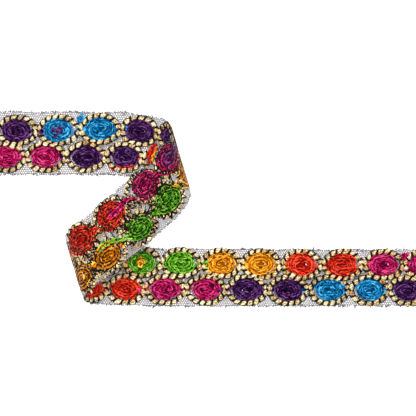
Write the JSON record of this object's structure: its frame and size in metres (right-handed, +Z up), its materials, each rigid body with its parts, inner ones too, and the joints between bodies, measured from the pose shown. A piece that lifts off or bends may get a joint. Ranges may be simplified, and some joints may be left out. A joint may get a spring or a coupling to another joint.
{
  "type": "embroidered trim",
  "caption": "Length of net trim with rows of coloured thread rounds outlined in gold cord, laid as an open Z with its reverse showing between the folds.",
  "frame": {"origin": "centre of the part's box, at the height of the surface that the trim lies on", "axes": "+X along both flat runs, +Y across them from the lower run to the upper one, +Z up"},
  "size_m": [0.271, 0.1134, 0.0268],
  "materials": {
    "net": "sheer fine net, dark thread",
    "gold_cord": "metallic wound cord, satin",
    "thread_purple": "glossy rayon chain stitch",
    "thread_blue": "glossy rayon chain stitch",
    "thread_magenta": "glossy rayon chain stitch",
    "thread_red": "glossy rayon chain stitch",
    "thread_yellow": "glossy rayon chain stitch",
    "thread_green": "glossy rayon chain stitch"
  },
  "bodies": {
    "root": {"net_strip": "net", "gold_outline_upper": "gold_cord", "gold_outline_lower": "gold_cord", "round_upper_01": "thread_purple", "round_upper_02": "thread_blue", "round_upper_03": "thread_blue", "round_upper_04": "thread_purple", "round_upper_05": "thread_purple", "round_upper_06": "thread_magenta", "round_upper_07": "thread_magenta", "round_upper_08": "thread_red", "round_upper_09": "thread_red", "round_upper_10": "thread_yellow", "round_upper_11": "thread_yellow", "round_upper_12": "thread_green", "round_upper_13": "thread_green", "round_upper_14": "thread_yellow", "round_upper_15": "thread_yellow", "round_upper_16": "thread_red", "round_upper_17": "thread_red", "round_upper_18": "thread_magenta", "round_upper_19": "thread_magenta", "round_lower_01": "thread_magenta", "round_lower_02": "thread_magenta", "round_lower_03": "thread_purple", "round_lower_04": "thread_purple", "round_lower_05": "thread_red", "round_lower_06": "thread_yellow", "round_lower_07": "thread_green", "round_lower_08": "thread_green", "round_lower_09": "thread_yellow", "round_lower_10": "thread_yellow", "round_lower_11": "thread_red", "round_lower_12": "thread_red", "round_lower_13": "thread_magenta", "round_lower_14": "thread_magenta", "round_lower_15": "thread_purple", "round_lower_16": "thread_purple", "round_lower_17": "thread_blue", "round_lower_18": "thread_blue", "round_lower_19": "thread_purple"}
  },
  "joints": []
}
